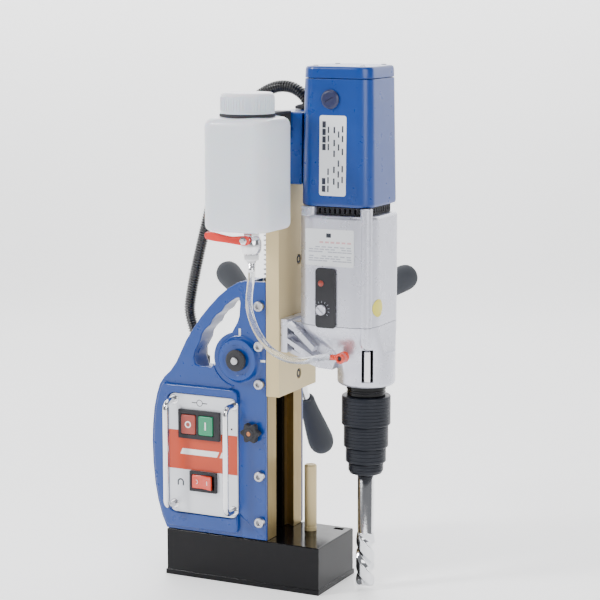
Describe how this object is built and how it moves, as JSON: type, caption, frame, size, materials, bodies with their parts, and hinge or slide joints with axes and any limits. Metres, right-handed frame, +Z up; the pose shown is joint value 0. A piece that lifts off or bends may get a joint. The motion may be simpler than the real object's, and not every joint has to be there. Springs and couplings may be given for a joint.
{
  "type": "magnetic drill press",
  "caption": "Portable magnet-based drill press with a rack-fed carriage, capstan handle, geared motor, quick-change arbor and coolant bottle.",
  "frame": {"origin": "centre of the magnet's flat underside", "axes": "+X from the magnet towards the drill, +Z up along the column, +Y away from the switch panel"},
  "size_m": [0.2608, 0.2601, 0.509],
  "materials": {
    "black_paint": "glossy black enamel",
    "gold_zinc": "yellow chromated zinc, satin",
    "blue_paint": "smooth blue enamel",
    "panel_plate": "silver-white printed plate with an orange band",
    "chrome": "bright chrome",
    "steel": "machined steel",
    "copper": "varnished copper winding",
    "bronze": "machined bronze",
    "black_plastic": "moulded black plastic",
    "conduit": "ribbed black conduit",
    "sleeve_black": "blackened steel, fine grooves",
    "red_plastic": "red moulded plastic",
    "green_plastic": "green moulded plastic",
    "board_green": "circuit board with components",
    "silver_cast": "fine cast aluminium, silver paint",
    "grip_rubber": "dark moulded rubber",
    "bottle_white": "translucent white polyethylene",
    "clear_hose": "clear flexible tube"
  },
  "bodies": {
    "stand": {"magnet_base": "black_paint", "magnet_coil": "copper", "column_guide": "gold_zinc", "gib_strip": "bronze", "control_housing": "blue_paint", "panel_plate": "panel_plate", "guard_bar_left": "chrome", "guard_bar_right": "chrome", "motor_switch_frame": "black_plastic", "magnet_switch_frame": "black_plastic", "circuit_board": "board_green", "housing_screw_1": "black_paint", "housing_screw_2": "black_paint", "housing_screw_3": "black_paint", "housing_screw_4": "black_paint", "housing_screw_5": "black_paint", "stop_post": "gold_zinc", "feed_bush_near": "bronze", "feed_bush_far": "bronze", "conduit_gland_lower": "black_plastic", "conduit": "conduit"},
    "feed": {"pinion_shaft": "steel", "shaft_cap": "black_plastic", "capstan_hub": "silver_cast", "feed_arm_1": "chrome", "feed_arm_2": "chrome", "feed_arm_3": "chrome", "feed_grip_1": "grip_rubber", "feed_grip_2": "grip_rubber", "feed_grip_3": "grip_rubber"},
    "clamp": {"clamp_knob": "black_plastic"},
    "start": {"start_button": "green_plastic"},
    "stop": {"stop_button": "red_plastic"},
    "magnet_rocker": {"magnet_rocker": "red_plastic"},
    "carriage": {"carriage_slide": "gold_zinc", "rack": "steel", "gear_case_upper": "silver_cast", "gear_case_lower": "silver_cast", "motor_housing": "blue_paint", "motor_cap": "blue_paint", "rear_cover": "blue_paint", "stator": "steel", "brush_cap": "black_plastic", "speed_plate": "black_plastic", "conduit_gland_upper": "black_plastic", "bottle": "bottle_white", "bottle_holder": "black_plastic", "valve_body": "chrome", "hose": "clear_hose", "hose_fitting": "red_plastic", "spindle_bearing": "steel"},
    "dial": {"selector_dial": "silver_cast"},
    "bottle_cap": {"bottle_cap": "bottle_white"},
    "valve_lever": {"valve_lever": "red_plastic"},
    "rotor": {"armature": "copper"},
    "middle_gear": {"intermediate_gear": "steel"},
    "spindle": {"spindle": "steel", "core_drill": "chrome"},
    "chuck_sleeve": {"chuck_sleeve": "sleeve_black"},
    "pilot_pin": {"pilot_pin": "steel"}
  },
  "joints": [
    {"name": "carriage_feed", "type": "slide", "parent": "stand", "child": "carriage", "axis": [0, 0, 1], "range_m": [-0.115, 0.03], "deforming": ["conduit"]},
    {"name": "capstan_turn", "type": "hinge", "parent": "stand", "child": "feed", "pos_m": [0, 0, 0.226], "axis": [0, 1, 0], "range_deg": [-150, 560]},
    {"name": "clamp_knob_turn", "type": "hinge", "parent": "stand", "child": "clamp", "pos_m": [0.0138, -0.045, 0.155], "axis": [0, 1, 0], "range_deg": [0, 90]},
    {"name": "start_button_press", "type": "slide", "parent": "stand", "child": "start", "axis": [0, 1, 0], "range_m": [0, 0.003], "stiffness_N_per_m": 400},
    {"name": "stop_button_press", "type": "slide", "parent": "stand", "child": "stop", "axis": [0, 1, 0], "range_m": [0, 0.003], "stiffness_N_per_m": 400},
    {"name": "magnet_rocker_tilt", "type": "hinge", "parent": "stand", "child": "magnet_rocker", "pos_m": [-0.0395, -0.0442, 0.1], "axis": [0, 0, 1], "range_deg": [0, 14]},
    {"name": "selector_dial_turn", "type": "hinge", "parent": "carriage", "child": "dial", "pos_m": [0.088, -0.044, 0.281], "axis": [0, 1, 0], "range_deg": [0, 90]},
    {"name": "bottle_cap_lift", "type": "slide", "parent": "carriage", "child": "bottle_cap", "axis": [0, 0, 1], "range_m": [0, 0.03]},
    {"name": "valve_lever_turn", "type": "hinge", "parent": "carriage", "child": "valve_lever", "pos_m": [0.035, -0.0982, 0.35], "axis": [0, -1, 0], "range_deg": [0, 90]},
    {"name": "motor_spin", "type": "hinge", "parent": "carriage", "child": "rotor", "pos_m": [0.097, 0, 0.4], "axis": [0, 0, 1], "continuous": true},
    {"name": "middle_gear_spin", "type": "hinge", "parent": "carriage", "child": "middle_gear", "pos_m": [0.10513, 0.0186, 0.33], "axis": [0, 0, 1], "continuous": true},
    {"name": "spindle_spin", "type": "hinge", "parent": "carriage", "child": "spindle", "pos_m": [0.1155, 0, 0.25], "axis": [0, 0, 1], "continuous": true},
    {"name": "chuck_sleeve_release", "type": "slide", "parent": "spindle", "child": "chuck_sleeve", "axis": [0, 0, -1], "range_m": [0, 0.006], "stiffness_N_per_m": 1500, "springref_m": -0.003},
    {"name": "pilot_pin_retract", "type": "slide", "parent": "spindle", "child": "pilot_pin", "axis": [0, 0, 1], "range_m": [0, 0.001]}
  ],
  "couplings": [
    {"joint": "capstan_turn", "follows": "carriage_feed", "rad_per_m": -83.333},
    {"joint": "middle_gear_spin", "follows": "motor_spin", "ratio": -0.25},
    {"joint": "spindle_spin", "follows": "motor_spin", "ratio": 0.08871}
  ]
}
